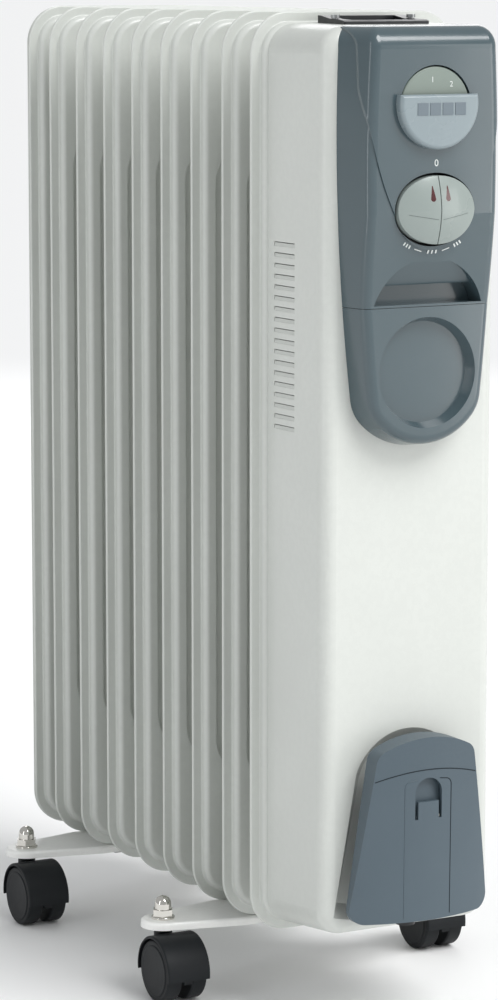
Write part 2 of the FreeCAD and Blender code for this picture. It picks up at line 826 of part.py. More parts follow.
def make_switch_frame():
    height = size("switch_height")
    face = size("panel_face")
    pivot = size("pivot_depth")
    front = face + size("panel_wall")
    outer = oval(31.4, 25.6, front - 1, 19)
    inner = oval(28.4, 22.8, front - 2, 18)
    slot = [rod(size("pivot_radius"), (-40, pivot, height), (40, pivot, height))]
    frame = cut_all(outer.cut(inner), slot).common(panel_block(size("panel_wall")))
    feature("switch_frame", frame.cut(grip_space(size("panel_wall"))))
    bodies = []
    for x in (-12, 12):
        base = block((x - 8, x + 8), (front + 18, front + 34), (height - 13, height + 13))
        tabs = [block((x - 3, x + 3), (front + 34, front + 41), (height + z, height + z + 0.8))
                for z in (-8, 0, 8)]
        bodies.append(fuse_all([base] + tabs))
    feature("switch_bodies", Part.makeCompound(bodies))


# ---------------------------------------------------------------- cord tidy

def bowed_section(height, edge, crown):
    """Closed D of the plate's plan at one height: an arc from edge to crown, and a flat back."""
    half = 60
    here = [Vector(x, y, height) for x, y in
            ((-half, edge), (0, crown), (half, edge), (half, 0), (-half, 0))]
    return Part.Wire([Part.Arc(here[0], here[1], here[2]).toShape(),
                      Part.LineSegment(here[2], here[3]).toShape(),
                      Part.LineSegment(here[3], here[4]).toShape(),
                      Part.LineSegment(here[4], here[0]).toShape()])


def plate_block(inset):
    """Tapered plate that bows forwards, more at its foot than at its top."""
    bow = Part.makeLoft([bowed_section(60, -73 + inset, -92.6 + inset),
                         bowed_section(200, -84 + inset, -93.6 + inset)], True, True)
    back = -59 if inset else -77
    bell = slab(plate_outline(-inset, -100), 100 + back)
    upright = bell.common(bow)

    def corner(edge):
        box = edge.BoundBox
        return box.YLength > 1 and box.XLength < 1e-3 and box.ZLength < 1e-3
    upright = soften(upright, 9 - inset, corner)
    return upright


def clip_spaces():
    """Arched finger hole over the tongue, and the two slits beside it."""
    arch = slab(outline(-100, (-9.5, 148), (9.5, 148), (9.5, 154), ((0, 163), (-9.5, 154)),
                        (-9.5, 148)), 40)
    slits = [block((x - 1.1, x + 1.1), (-100, -60), (137, 149)) for x in (-8.4, 8.4)]
    return [arch] + slits


def make_cord_tidy():
    plate = plate_block(0).cut(plate_block(2.4))
    plate = cut_all(plate, clip_spaces())
    feature("cord_plate", plate)
    floor = size("cover_front") + 9
    outer = slab(rounded_rectangle(19, 100, 134, 9, -100), 100 + floor)
    inner = slab(rounded_rectangle(16.5, 102.5, 131.5, 6.5, -100), 100 + floor - 2.5)
    bosses = [rod(4, (x, -95, 130 - 13), (x, floor, 117)) for x in (-10, 10)]
    hub = outer.cut(inner).fuse(Part.makeCompound(bosses)).common(plate_block(2.4))
    feature("cord_hub", largest(hub.removeSplitter()))


# ---------------------------------------------------------------- carry grip

def make_grip():
    """Black grip let into the cover's top: a rim that rises to the back, and a finger cup."""
    high = size("cover_high")
    side = [(-37, high - 0.6), (-37, high + 1.2), (-34, high + 2), (-20, high + 2.6),
            (-7, high + 4.6), (-3.2, high + 4.6), (-3.2, high - 0.6)]
    points = [Vector(-30, y, z) for y, z in side]
    rim = Part.Face(Part.makePolygon(points + points[:1])).extrude(Vector(60, 0, 0))
    upright_corners = [edge for edge in rim.Edges
                       if edge.BoundBox.XLength < 1e-3 and edge.BoundBox.YLength < 1e-3]
    rim = rim.makeFillet(0.8, upright_corners)
    cup = block((-24, 24), (-34, -6), (high - 27, high + 1))
    space = block((-21.8, 21.8), (-31.6, -8.2), (high - 25, high + 20))
    holes = [rod(1.8, (x, -20, high - 5), (x, -20, high + 20)) for x in (-26.8, 26.8)]
    grip = fuse_all([rim.cut(cover_block(0)), cup]).cut(space)
    feature("carry_grip", cut_all(grip, holes))


# ---------------------------------------------------------------- fasteners

def screw(radius, head, start, end):
    """Pan head screw: the head sits before start, the shank runs to end."""
    start_point = Vector(*start)
    along = (Vector(*end) - start_point).normalize()
    head_end = start_point - along * 2
    shank = rod(radius, start, end)
    return shank.fuse(rod(head, tuple(head_end), start)).removeSplitter()


def make_screws():
    front = size("cover_front") + size("cover_wall")
    high = size("cover_high")
    screws = [screw(1.5, 3, (x, front + 1.2, z), (x, -84, z)) for x, z in panel_screw_places()]
    screws += [screw(1.5, 3, (x, front, z), (x, -78, z)) for x, z in lower_screw_places()]
    screws += [screw(1.6, 2.8, (x, -20, high + 3.2), (x, -20, high - 8)) for x in (-26.8, 26.8)]
    feature("casing_screws", Part.makeCompound(screws))


# ---------------------------------------------------------------- brackets

def make_bracket(name, depth):
    low = size("bracket_low")
    high = size("fin_bottom")
    stem = size("stem_offset")

    def plan(inset, z):
        tip = 14.5 - inset
        wide = 25 - inset

        def at(x, y):
            return Vector(x, depth + y, z)
        edges = []
        for sign in (1, -1):
            edges.append(Part.LineSegment(at(sign * -58, sign * -wide),
                                          at(sign * 58, sign * -wide)).toShape())
            edges.append(Part.LineSegment(at(sign * 58, sign * -wide),
                                          at(sign * stem, sign * -tip)).toShape())
            edges.append(Part.Arc(at(sign * stem, sign * -tip), at(sign * (stem + tip), 0),
                                  at(sign * stem, sign * tip)).toShape())
            edges.append(Part.LineSegment(at(sign * stem, sign * tip),
                                          at(sign * 58, sign * wide)).toShape())
        return Part.Wire(edges)
    skin = size("bracket_skin")
    outer = Part.Face(plan(0, low)).extrude(Vector(0, 0, high - low))
    outer = soften(outer, 2, lambda edge: edge.BoundBox.ZMin > high - 1e-3)
    inner = Part.Face(plan(skin, low - 1)).extrude(Vector(0, 0, high - low + 1 - skin))
    tray = outer.cut(inner)
    pads = [rod(7, (x, depth, low), (x, depth, high - skin)) for x in (-stem, stem)]
    holes = [rod(size("stem_radius") + 0.2, (x, depth, 40), (x, depth, 60)) for x in (-stem, stem)]
    holes += [rod(2.8, (x, depth, 40), (x, depth, 60)) for x in (-26, 26)]
    feature(name, cut_all(fuse_all([tray] + pads), holes))


def make_u_bolts():
    axis = header_heights()[0]
    bolts = []
    nuts = []
    for depth in (size("front_bracket_depth"), size("rear_bracket_depth")):
        arch = Part.makeTorus(26, 2.5, Vector(0, depth, axis), Vector(0, 1, 0))
        arch = arch.common(block((-40, 40), (depth - 9, depth + 9), (axis, axis + 40)))
        legs = [rod(2.5, (x, depth, 37), (x, depth, axis)) for x in (-26, 26)]
        bolts.append(fuse_all([arch] + legs))
        for x in (-26, 26):
            top = size("fin_bottom") - size("bracket_skin")
            nut = rod(5, (x, depth, top - 7), (x, depth, top))
            wings = [block((x + near, x + near + 7), (depth - 1.2, depth + 1.2),
                           (top - 11, top - 2)) for near in (-11, 4)]
            nuts.append(fuse_all([nut] + wings).cut(rod(2.5, (x, depth, 30), (x, depth, 60))))
    feature("u_bolts", Part.makeCompound(bolts))
    feature("wing_nuts", Part.makeCompound(nuts))


def stem_places():
    offset = size("stem_offset")
    return [("front_left", -offset, size("front_bracket_depth"), 0),
            ("front_right", offset, size("front_bracket_depth"), 180),
            ("rear_left", -offset, size("rear_bracket_depth"), 0),
            ("rear_right", offset, size("rear_bracket_depth"), 180)]


def make_cap_nuts():
    base = size("fin_bottom")
    nuts = []
    for _, x, depth, _ in stem_places():
        washer = rod(7.6, (x, depth, base), (x, depth, base + 1.6))
        washer = soften(washer, 0.8, lambda edge: edge.BoundBox.ZMin > base + 1.5)
        corners = [Vector(x + 7 * math.cos(math.pi * n / 3), depth + 7 * math.sin(math.pi * n / 3),
                          base + 1.6) for n in range(7)]
        hexagon = Part.Face(Part.makePolygon(corners)).extrude(Vector(0, 0, 4.4))
        neck = rod(5.4, (x, depth, base + 6), (x, depth, base + 9.5))
        dome = Part.makeSphere(5.4, Vector(x, depth, base + 9.5))
        dome = dome.common(block((x - 9, x + 9), (depth - 9, depth + 9), (base + 9.5, base + 20)))
        nut = fuse_all([washer, hexagon, neck, dome])
        nuts.append(nut.cut(rod(size("stem_radius"), (x, depth, base - 2), (x, depth, base + 9))))
    feature("cap_nuts", Part.makeCompound(nuts))


def make_stems():
    low = size("bracket_low")
    top = size("fin_bottom")
    stems = []
    for _, x, depth, _ in stem_places():
        pin = rod(size("stem_radius"), (x, depth, size("stem_low")), (x, depth, top + 8.8))
        collar = rod(6.4, (x, depth, low - 1.2), (x, depth, low))
        stems.append(fuse_all([pin, collar]))
    feature("caster_stems", Part.makeCompound(stems))


# ---------------------------------------------------------------- casters

def caster_housing():
    """Hood over both wheels, a web between them and a neck round the stem."""
    radius = size("wheel_radius")
    trail = size("wheel_trail")
    inner = radius + size("hood_gap")
    outer = inner + size("hood_skin")
    half = 15
    web = 3
    axis = (-trail, radius)
    hood = rod(outer, (-half, axis[0], axis[1]), (half, axis[0], axis[1]))
    hood = soften(hood, 1.2, lambda edge: edge.BoundBox.XLength < 1e-3)
    hood = hood.cut(rod(inner, (-half - 1, axis[0], axis[1]), (half + 1, axis[0], axis[1])))
    hood = hood.common(block((-20, 20), (-60, 30), (radius - 3, 60)))
    plate = rod(inner + 0.4, (-web, axis[0], axis[1]), (web, axis[0], axis[1]))
    plate = plate.common(block((-20, 20), (-60, 30), (radius - 5.5, 60)))
    hub = rod(5, (-web, axis[0], axis[1]), (web, axis[0], axis[1]))
    neck = rod(6, (0, 0, 24), (0, 0, size("bracket_low") - 1.5))
    shape = fuse_all([hood, plate, hub, neck])
    for sign in (-1, 1):
        near, far = sorted((sign * web, sign * half))
        shape = shape.cut(rod(inner, (near, axis[0], axis[1]), (far, axis[0], axis[1])))
    bores = [rod(size("stem_radius") + size("running_gap"), (0, 0, size("stem_low") - 0.4),
                 (0, 0, 60)),
             rod(size("axle_radius") + size("running_gap"), (-20, axis[0], axis[1]),
                 (20, axis[0], axis[1]))]
    return cut_all(shape, bores)


def caster_wheels():
    radius = size("wheel_radius")
    trail = size("wheel_trail")
    inner = 3.5
    outer = inner + size("wheel_width")
    wheels = []
    for sign in (-1, 1):
        near, far = sorted((sign * inner, sign * outer))
        wheel = rod(radius, (near, -trail, radius), (far, -trail, radius))
        wheel = soften(wheel, 1.4, lambda edge: edge.BoundBox.XLength < 1e-3)
        wheels.append(wheel.cut(rod(size("axle_radius"), (sign * 0.5, -trail, radius),
                                    (sign * (outer - 3), -trail, radius))))
    return Part.makeCompound(wheels)


def make_casters():
    trail = size("wheel_trail")
    radius = size("wheel_radius")
    reach = 3.5 + size("wheel_width") - 3
    axle = rod(size("axle_radius"), (-reach, -trail, radius), (reach, -trail, radius))
    for name, x, depth, heading in stem_places():
        place = FreeCAD.Placement(Vector(x, depth, 0), FreeCAD.Rotation(Vector(0, 0, 1), heading))
        feature("caster_housing_" + name, caster_housing(), place)
        feature("caster_axle_" + name, axle.copy(), place)
        feature("caster_wheels_" + name, caster_wheels(), place)


# ---------------------------------------------------------------- wiring

def lead(radius, *stops):
    """A wire along straight runs joined by tangent arcs, as large as the runs allow."""
    points = [Vector(*stop) for stop in stops]
    edges = []
    here = points[0]
    for before, corner, after in zip(points, points[1:], points[2:]):
        back = (before - corner).normalize()
        ahead = (after - corner).normalize()
        run = 0.45 * min((before - corner).Length, (after - corner).Length)
        start = corner + back * run
        end = corner + ahead * run
        half_turn = (math.pi - back.getAngle(ahead)) / 2
        bend = run / math.tan(half_turn)
        middle = (back + ahead).normalize()
        via = corner + middle * (bend / math.cos(half_turn) - bend)
        edges.append(Part.LineSegment(here, start).toShape())
        edges.append(Part.Arc(start, via, end).toShape())
        here = end
    edges.append(Part.LineSegment(here, points[-1]).toShape())
    path = Part.Wire(edges)
    section = Part.Wire(Part.makeCircle(radius, points[0], points[1] - points[0]))
    return path.makePipeShell([section], True, False)


def make_wiring():
    """Insulated leads from the terminal block to the element, the switches and the cutout."""
    low = header_heights()[0]
    leads = [
        lead(1.3, (14, -20, 280), (14, -28, 262), (22, -34, 200), (14, -30, 130),
             (6.5, -22, low + 8), (6.5, -17.4, low + 4.2)),
        lead(1.3, (-14, -20, 280), (-14, -28, 262), (-24, -36, 200), (-14, -30, 130),
             (-6.5, -22, low + 8), (-6.5, -17.4, low + 4.2)),
        lead(1.3, (-14, -26, 301), (-26, -32, 318), (-34, -38, 390), (-24, -42, 460),
             (-12, -46, 492), (-12, -49, 503)),
        lead(1.3, (14, -26, 301), (26, -32, 318), (34, -38, 390), (24, -42, 460),
             (12, -46, 492), (12, -49, 503))]
    feature("wiring", Part.makeCompound(leads))


# ---------------------------------------------------------------- build and write

def build():
    fill_sheet()
    make_fins()
    make_collars()
    make_plugs()
    make_end_plate()
    make_element()
    make_heat_shield()
    make_cutout_and_block()
    make_cover()
    make_gland()
    make_panels()
    make_chassis()
    make_thermostat()
    make_dial_hood()
    make_rockers()
    make_switch_frame()
    make_cord_tidy()
    make_grip()
    make_screws()
    make_bracket("front_bracket", size("front_bracket_depth"))
    make_bracket("rear_bracket", size("rear_bracket_depth"))
    make_u_bolts()
    make_cap_nuts()
    make_stems()
    make_casters()
    make_wiring()
    DOC.recompute()


def check():
    for item in DOC.Objects:
        if "Invalid" in item.State or "Error" in item.State:
            raise RuntimeError("%s failed: %s" % (item.Label, item.State))
    bad = [part.Label for part in PARTS
           if part.Shape.isNull() or not part.Shape.isValid() or not part.Shape.Solids]
    if bad:
        raise RuntimeError("no valid solid: " + ", ".join(bad))


def write():
    os.makedirs("parts", exist_ok=True)
    for part in PARTS:
        part.Shape.exportStep(os.path.join("parts", part.Label + ".step"))
    whole = Part.makeCompound([part.Shape for part in PARTS])
    print("%d sub-parts, box %s" % (len(PARTS), whole.BoundBox))


build()
check()
write()
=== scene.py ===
import json
import math

import bmesh
import bpy
import numpy as np
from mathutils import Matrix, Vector


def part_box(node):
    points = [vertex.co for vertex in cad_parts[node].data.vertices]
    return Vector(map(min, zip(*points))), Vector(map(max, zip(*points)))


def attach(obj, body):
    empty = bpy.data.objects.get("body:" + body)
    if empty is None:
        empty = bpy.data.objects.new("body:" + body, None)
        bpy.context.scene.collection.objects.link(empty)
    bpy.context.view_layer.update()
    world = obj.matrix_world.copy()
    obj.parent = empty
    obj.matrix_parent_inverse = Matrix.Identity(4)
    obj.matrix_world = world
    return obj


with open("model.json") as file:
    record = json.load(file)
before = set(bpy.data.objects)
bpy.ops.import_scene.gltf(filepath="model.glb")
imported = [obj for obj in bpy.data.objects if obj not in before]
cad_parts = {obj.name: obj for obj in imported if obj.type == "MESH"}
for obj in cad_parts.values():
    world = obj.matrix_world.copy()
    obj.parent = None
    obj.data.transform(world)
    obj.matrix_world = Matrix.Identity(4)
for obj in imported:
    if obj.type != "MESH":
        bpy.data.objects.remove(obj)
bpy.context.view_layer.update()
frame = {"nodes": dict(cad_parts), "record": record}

MM = 0.001
NODES = frame["nodes"]


# ---------------------------------------------------------------- camera, floor and light

CAMERA_PLACE = Vector((-1.1078, -2.0444, 0.6598))
CAMERA_TARGET = Vector((-0.0705, -0.1077, 0.3273))
CAMERA_LENS = 127.9
SENSOR = 36.0


def make_camera():
    data = bpy.data.cameras.new("camera")
    data.sensor_fit = "VERTICAL"
    data.sensor_height = SENSOR
    data.sensor_width = SENSOR
    data.lens = CAMERA_LENS
    data.clip_end = 400
    camera = bpy.data.objects.new("camera", data)
    camera.location = CAMERA_PLACE
    camera.rotation_euler = (CAMERA_TARGET - CAMERA_PLACE).to_track_quat("-Z", "Y").to_euler()
    bpy.context.scene.collection.objects.link(camera)
    bpy.context.scene.camera = camera


def make_area_light(name, place, target, width, height, power, colour=(1, 1, 1)):
    data = bpy.data.lights.new(name, "AREA")
    data.shape = "RECTANGLE"
    data.size = width
    data.size_y = height
    data.energy = power
    data.color = colour
    light = bpy.data.objects.new(name, data)
    light.location = place
    light.rotation_euler = (Vector(target) - Vector(place)).to_track_quat("-Z", "Y").to_euler()
    bpy.context.scene.collection.objects.link(light)


def make_world():
    world = bpy.data.worlds.new("studio")
    world.use_nodes = True
    background = world.node_tree.nodes["Background"]
    background.inputs["Color"].default_value = (0.97, 0.985, 1.0, 1)
    background.inputs["Strength"].default_value = 0.5
    bpy.context.scene.world = world


def make_sun(strength, azimuth, elevation, spread):
    """A soft sun. Azimuth is from -Y towards -X, in degrees, as the spread is."""
    data = bpy.data.lights.new("sun", "SUN")
    data.energy = strength
    data.angle = math.radians(spread)
    sun = bpy.data.objects.new("sun", data)
    turn, lift = math.radians(azimuth), math.radians(elevation)
    source = Vector((-math.sin(turn) * math.cos(lift), -math.cos(turn) * math.cos(lift),
                     math.sin(lift)))
    sun.rotation_euler = source.to_track_quat("Z", "Y").to_euler()
    bpy.context.scene.collection.objects.link(sun)


def make_studio():
    make_world()
    bpy.context.scene.view_settings.view_transform = "Standard"
    middle = (0, 0, 0.32)
    make_sun(2.2, -25, 50, 35)
    make_area_light("front_right", (1.6, -1.85, 0.6), middle, 1.0, 1.4, 10, (1, 0.99, 0.97))
    make_area_light("left_strip", (-2.2, -0.6, 0.9), middle, 0.25, 1.8, 5, (0.96, 0.98, 1))
    make_area_light("back", (1.4, 2.6, 1.6), middle, 1.6, 1.6, 14)


def make_floor():
    data = bpy.data.meshes.new("floor")
    reach = 150.0
    data.from_pydata([(-reach, -reach, 0), (reach, -reach, 0), (reach, reach, 0),
                      (-reach, reach, 0)], [], [(0, 1, 2, 3)])
    floor = bpy.data.objects.new("floor", data)
    bpy.context.scene.collection.objects.link(floor)
    material = bpy.data.materials.new("floor_paper")
    material.use_nodes = True
    shader = material.node_tree.nodes["Principled BSDF"]
    shader.inputs["Base Color"].default_value = (0.9, 0.9, 0.9, 1)
    shader.inputs["Roughness"].default_value = 0.8
    data.materials.append(material)


# ---------------------------------------------------------------- materials

def linear(*srgb):
    """An sRGB colour, 0 to 255, as Blender's linear colour."""
    parts = [value / 255 for value in srgb]
    return tuple(p / 12.92 if p <= 0.04045 else ((p + 0.055) / 1.055) ** 2.4
                 for p in parts) + (1,)


class Shader:
    """Short names for building one node material around a Principled shader."""

    def __init__(self, name):
        self.material = bpy.data.materials.new(name)
        self.material.use_nodes = True
        self.tree = self.material.node_tree
        self.bsdf = self.tree.nodes["Principled BSDF"]
        self.place = self.tree.nodes.new("ShaderNodeTexCoord").outputs["Object"]

    def link(self, source, target):
        self.tree.links.new(source, target)

    def noise(self, scale, detail=4, roughness=0.55, stretch=(1, 1, 1)):
        mapping = self.tree.nodes.new("ShaderNodeMapping")
        mapping.inputs["Scale"].default_value = stretch
        self.link(self.place, mapping.inputs["Vector"])
        node = self.tree.nodes.new("ShaderNodeTexNoise")
        node.inputs["Scale"].default_value = scale
        node.inputs["Detail"].default_value = detail
        node.inputs["Roughness"].default_value = roughness
        self.link(mapping.outputs["Vector"], node.inputs["Vector"])
        return node.outputs["Fac"]

    def span(self, source, low, high, start=0.3, stop=0.7):
        node = self.tree.nodes.new("ShaderNodeMapRange")
        node.inputs["From Min"].default_value = start
        node.inputs["From Max"].default_value = stop
        node.inputs["To Min"].default_value = low
        node.inputs["To Max"].default_value = high
        self.link(source, node.inputs["Value"])
        return node.outputs["Result"]

    def mix(self, factor, first, second):
        node = self.tree.nodes.new("ShaderNodeMix")
        node.data_type = "RGBA"
        self.link(factor, node.inputs["Factor"])
        for value, socket in ((first, node.inputs["A"]), (second, node.inputs["B"])):
            if isinstance(value, tuple):
                socket.default_value = value
            else:
                self.link(value, socket)
        return node.outputs["Result"]

    def bump(self, height, strength, distance, under=None):
        node = self.tree.nodes.new("ShaderNodeBump")
        node.inputs["Strength"].default_value = strength
        node.inputs["Distance"].default_value = distance
        self.link(height, node.inputs["Height"])
        if under is not None:
            self.link(under, node.inputs["Normal"])
        return node.outputs["Normal"]


def coated(name, colour, shade, roughness, grain, depth, metallic=0.0, coat=0.0, specular=0.5,
           spread=0.06):
    """A moulded or painted surface: faint mottling, uneven gloss and a fine grain.

    Grain is the number of bumps per metre and depth their height in metres."""
    shader = Shader(name)
    tone = shader.span(shader.noise(9, 5), 0, 1)
    speck = shader.span(shader.noise(grain * 0.35, 2), 0, 1, 0.35, 0.65)
    base = shader.mix(tone, colour, shade)
    fleck = tuple(c * 0.93 for c in colour[:3]) + (1,)
    mixed = shader.mix(shader.span(speck, 0, 0.35), base, fleck)
    shader.link(mixed, shader.bsdf.inputs["Base Color"])
    gloss = shader.span(shader.noise(26, 4), roughness - spread, roughness + spread)
    shader.link(gloss, shader.bsdf.inputs["Roughness"])
    fine = shader.bump(shader.noise(grain, 3, 0.6), 1.0, depth)
    waves = shader.bump(shader.noise(60, 2), 0.35, depth * 4, fine)
    shader.link(waves, shader.bsdf.inputs["Normal"])
    shader.bsdf.inputs["Metallic"].default_value = metallic
    shader.bsdf.inputs["Coat Weight"].default_value = coat
    shader.bsdf.inputs["Coat Roughness"].default_value = 0.07
    shader.bsdf.inputs["Specular IOR Level"].default_value = specular
    return shader.material


def make_materials():
    return {
        "enamel": coated("enamel", linear(212, 215, 210), linear(206, 209, 204), 0.36, 700,
                         0.00004, coat=0.25),
        "panel": coated("panel_gloss", linear(73, 89, 95), linear(68, 84, 90), 0.2, 1500,
                        0.000012, coat=0.5),
        "tidy": coated("tidy_satin", linear(80, 94, 103), linear(73, 87, 96), 0.42, 1300,
                       0.00003),
        "hood": coated("hood_gloss", linear(140, 153, 158), linear(132, 145, 150), 0.28, 1500,
                       0.00001, coat=0.3),
        "dial": coated("dial_satin", linear(134, 146, 138), linear(126, 138, 131), 0.33, 1400,
                       0.00002),
        "switch": coated("switch_satin", linear(150, 160, 156), linear(142, 152, 149), 0.3, 1500,
                         0.00001, coat=0.3),
        "lens": coated("lens_red", linear(84, 12, 16), linear(58, 6, 10), 0.25, 1500, 0.000005,
                       coat=1),
        "black": coated("black_plastic", linear(34, 36, 39), linear(28, 30, 33), 0.36, 1100,
                        0.00003),
        "caster": coated("caster_nylon", linear(24, 27, 30), linear(20, 23, 26), 0.5, 1200,
                         0.00004, specular=0.25),
        "chrome": coated("chrome", linear(225, 222, 215), linear(205, 203, 198), 0.09, 900,
                         0.000006, metallic=1, spread=0.04),
        "steel": coated("zinc_steel", linear(168, 170, 170), linear(150, 152, 153), 0.32, 500,
                        0.00002, metallic=1),
        "brass": coated("brass", linear(190, 160, 95), linear(170, 140, 80), 0.3, 600, 0.00002,
                        metallic=1),
        "bakelite": coated("bakelite", linear(58, 46, 38), linear(46, 37, 31), 0.4, 900, 0.00003),
        "sleeve": coated("wire_sleeve", linear(205, 200, 185), linear(190, 186, 172), 0.55, 2000,
                         0.00005),
        # Painted light: the brackets carry the body's white enamel, made lighter here to stand
        # for the light on their upward faces.
        "bracket": coated("bracket_lit_enamel", linear(250, 250, 247), linear(244, 245, 242), 0.36,
                          700, 0.00004, coat=0.25),
        # Painted shade: dark lines that stand for the shadow at the cord plate's seam step and
        # along its recessed strip's right wall.
        "groove": coated("groove_shadow", linear(34, 43, 49), linear(29, 38, 44), 0.6, 1300,
                         0.00002, specular=0.2),
        # Painted shade: a darker copy of the switch colour for the shade in each rocker's crease.
        "crease_shade": coated("rocker_crease", linear(104, 114, 112), linear(96, 106, 104), 0.5,
                         1500, 0.00001),
        "square": coated("hood_square", linear(112, 124, 132), linear(104, 116, 124), 0.4,
                         1500, 0.00001),
        "print": coated("printed_marks", linear(232, 236, 234), linear(220, 226, 224), 0.5, 2500,
                        0.000004),
    }


SLOT_MATERIALS = {
    "enamel": "enamel", "panel_plastic": "panel", "tidy_plastic": "tidy",
    "hood_plastic": "hood", "dial_plastic": "dial", "switch_plastic": "switch",
    "red_lens": "lens", "black_plastic": "black", "caster_plastic": "caster",
    "chrome": "chrome", "steel": "steel", "brass": "brass", "bakelite": "bakelite",
    "wire_sleeve": "sleeve"}


# The brackets take the lighter copy of the enamel, which is painted light.
NODE_MATERIALS = {
    "front_bracket": "bracket", "rear_bracket": "bracket", "switch_frame": "black"}


def dress_cad_nodes(materials):
    """Give every carried node the procedural finish of its slot in the record."""
    for part in frame["record"]["subparts"]:
        node = NODES.get(part["node"])
        if node is None:
            continue
        name = NODE_MATERIALS.get(part["node"], SLOT_MATERIALS[part["material_slot"]])
        finish = materials[name]
        node.data.materials.clear()
        node.data.materials.append(finish)


# ---------------------------------------------------------------- small pieces

# All sizes of the pieces are in millimetres, as the CAD's are.
SWITCH_HEIGHT = 512.8
DASH_HALF_WIDTH = 31.5
DASH_HALF_HEIGHT = 25.6
TICK_DEGREES = (-128, -124, -120, -95, -90, -85, -60, -56, -52)
DASH_DEGREES = (-108, -72)
TICK_SIZE = (0.9, 2.2)
DASH_SIZE = (5.2, 0.55)
PRINT_RISE = 0.12
PRINT_THICKNESS = 0.12
NUMERAL_RISE = 0.08
# Size that a font needs for a numeral one unit high.
FONT_SIZE = 1.4
# Name, text, node it is printed on, X, Z, height and the body it rides on.
NUMERALS = (
    ("dial_mark_1", "1", "thermostat_dial", -2, 590.4, 3.4, "dial"),
    ("dial_mark_2", "2", "thermostat_dial", 11.1, 587.6, 3.4, "dial"),
    ("off_mark", "0", "upper_panel", 0.8, 540.6, 4.2, "heater"))
SQUARE_SIDE = 7.4
SQUARE_HEIGHT = 573.2
SQUARE_PLACES = (-12.4, -3.7, 5.0, 13.7)
SQUARE_RISE = 0.35

SEAM_TOP = 168.2
SEAM_DROP = 5.5
SEAM_HALF = 36
STRIP_HALF = 16.5
STRIP_TOP = 161.5
STRIP_CORNER = 4.0
STRIP_FOOT = 75.0
SEAM_RADIUS = 0.32
STRIP_RADIUS = 0.28

CLIP_HALF = 11.0
CLIP_LOW = 138.0
CLIP_SPRING = 154.5
CLIP_DEPTH = 4.2

CREASE_LOW = 507.2
CREASE_RISE = 3.2
CREASE_INNER = 1.5
CREASE_OUTER = 20.5
CREASE_RADIUS = 0.16

VENT_COUNT = 18
VENT_LOW = 374.5
VENT_PITCH = 6.65
VENT_SLOT = 2.8
VENT_BACK = -127.0
VENT_FRONT = -150.8
VENT_HAIRLINE = 0.6
COVER_BACK = -119.7
COVER_HALF_BACK = 63.5
COVER_TAPER = 3 / 66.2

WHEEL_TURNS = 48
# Radius and rise of the rings of a wheel's disc, from its middle outwards.
WHEEL_PROFILE = [(0.4, 0.3), (8, 0.36), (14.6, 0.5), (15.6, 0.6), (16.4, 0.5), (16.9, 0.1),
                 (17, -0.3)]


def mesh_piece(name, vertices, faces):
    """A piece from points in millimetres, with its faces turned outwards."""
    data = bpy.data.meshes.new(name)
    data.from_pydata([tuple(value * MM for value in point) for point in vertices], [], faces)
    shape = bmesh.new()
    shape.from_mesh(data)
    bmesh.ops.recalc_face_normals(shape, faces=shape.faces)
    shape.to_mesh(data)
    shape.free()
    piece = bpy.data.objects.new(name, data)
    bpy.context.scene.collection.objects.link(piece)
    return piece


def settle(piece, body, material, bevel=0.0):
    """Give a piece its finish, its rounded edges and the body that it moves with."""
    piece.data.materials.append(material)
    if bevel:
        modifier = piece.modifiers.new("bevel", "BEVEL")
        modifier.width = bevel * MM
        modifier.segments = 2
        modifier.limit_method = "ANGLE"
    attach(piece, body)


def on_face(node, x, z, proud):
    """The point of a node's front above (x, z), moved forwards by proud, all in millimetres."""
    start = Vector((x * MM, -1, z * MM))
    found, place, _, _ = NODES[node].ray_cast(start, Vector((0, 1, 0)))
    if not found:
        raise RuntimeError("nothing of %s at %.1f, %.1f" % (node, x, z))
    return (x, place.y / MM - proud, z)


def stickers(name, node, outlines, proud, sunk=0.3):
    """Thin raised shapes that follow a node's front, one for each outline of (x, z)."""
    vertices, faces = [], []
    for outline in outlines:
        first, count = len(vertices), len(outline)
        front = [on_face(node, x, z, proud) for x, z in outline]
        vertices += front + [(x, y + proud + sunk, z) for x, y, z in front]
        faces.append(tuple(range(first, first + count)))
        faces.append(tuple(range(first + 2 * count - 1, first + count - 1, -1)))
        for step in range(count):
            after = (step + 1) % count
            faces.append((first + step, first + count + step, first + count + after,
                          first + after))
    return mesh_piece(name, vertices, faces)


def box_outline(x, z, width, height, turn=0.0):
    """Corners of a rectangle round (x, z), turned in its plane."""
    cos, sin = math.cos(turn), math.sin(turn)
    corners = [(-width, -height), (width, -height), (width, height), (-width, height)]
    return [(x + (u * cos - v * sin) / 2, z + (u * sin + v * cos) / 2) for u, v in corners]


def line_piece(name, node, points, radius):
    """A fine round line that follows a node's front."""
    data = bpy.data.curves.new(name, "CURVE")
    data.dimensions = "3D"
    data.bevel_depth = radius * MM
    data.bevel_resolution = 3
    data.use_fill_caps = True
    spline = data.splines.new("POLY")
    spline.points.add(len(points) - 1)
    for knot, (x, z) in zip(spline.points, points):
        knot.co = (*(value * MM for value in on_face(node, x, z, 0.0)), 1)
    piece = bpy.data.objects.new(name, data)
    bpy.context.scene.collection.objects.link(piece)
    return piece


